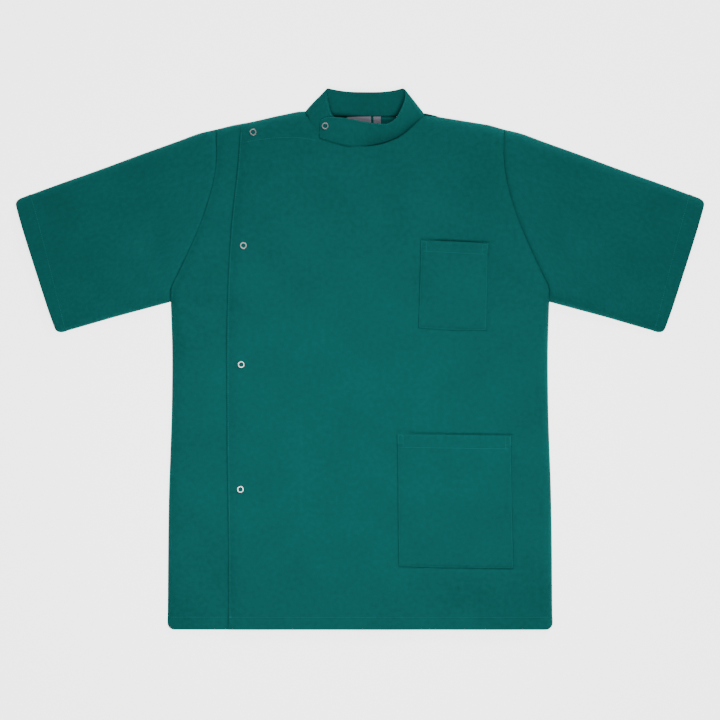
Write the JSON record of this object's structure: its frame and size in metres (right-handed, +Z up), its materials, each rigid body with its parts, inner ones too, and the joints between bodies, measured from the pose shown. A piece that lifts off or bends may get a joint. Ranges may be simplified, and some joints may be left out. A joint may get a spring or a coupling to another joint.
{
  "type": "clinical tunic",
  "caption": "Short-sleeved clinical tunic laid flat, with a stand collar, a flap front closed by press studs at the wearer's right, and chest and hip patch pockets.",
  "frame": {"origin": "on the table under the middle of the garment's bounding box, with the garment laid flat on its back", "axes": "+X across the garment towards the wearer's left sleeve, +Y from hem to collar, +Z up away from the table"},
  "size_m": [0.9878, 0.7755, 0.017],
  "materials": {
    "tunic_cloth": "matt plain-weave polyester cotton",
    "interlining": "non-woven fusible",
    "label_satin": "woven satin ribbon",
    "snap_metal": "bright nickel plate",
    "thread": "spun thread"
  },
  "bodies": {
    "garment": {"back_panel": "tunic_cloth", "front_panel": "tunic_cloth", "underlap_panel": "tunic_cloth", "underlap_interlining": "interlining", "underlap_facing": "tunic_cloth", "collar_outer": "tunic_cloth", "collar_interlining": "interlining", "collar_inner": "tunic_cloth", "chest_pocket": "tunic_cloth", "hip_pocket": "tunic_cloth", "chest_pocket_tacks": "thread", "hip_pocket_tacks": "thread", "neck_label": "label_satin", "size_label": "label_satin", "snap_studs": "snap_metal", "snap_back_rings": "snap_metal"},
    "flap": {"front_flap": "tunic_cloth", "flap_interlining": "interlining", "flap_facing": "tunic_cloth", "collar_tab_outer": "tunic_cloth", "collar_tab_interlining": "interlining", "collar_tab_inner": "tunic_cloth", "flap_hem_tack": "thread", "snap_rings": "snap_metal", "snap_sockets": "snap_metal"},
    "left_sleeve": {"sleeve_left": "tunic_cloth"},
    "right_sleeve": {"sleeve_right": "tunic_cloth"}
  },
  "joints": [
    {"name": "flap_open", "type": "hinge", "parent": "garment", "child": "flap", "pos_m": [-0.015, 0, 0.0155], "axis": [0, 1, 0], "range_deg": [0, 180]},
    {"name": "left_sleeve_fold", "type": "hinge", "parent": "garment", "child": "left_sleeve", "pos_m": [0.2393, 0.20655, 0.017], "axis": [0.252, -0.9677, 0], "range_deg": [0, 180]},
    {"name": "right_sleeve_fold", "type": "hinge", "parent": "garment", "child": "right_sleeve", "pos_m": [-0.2393, 0.20655, 0.017], "axis": [0.252, 0.9677, 0], "range_deg": [0, 180]}
  ]
}
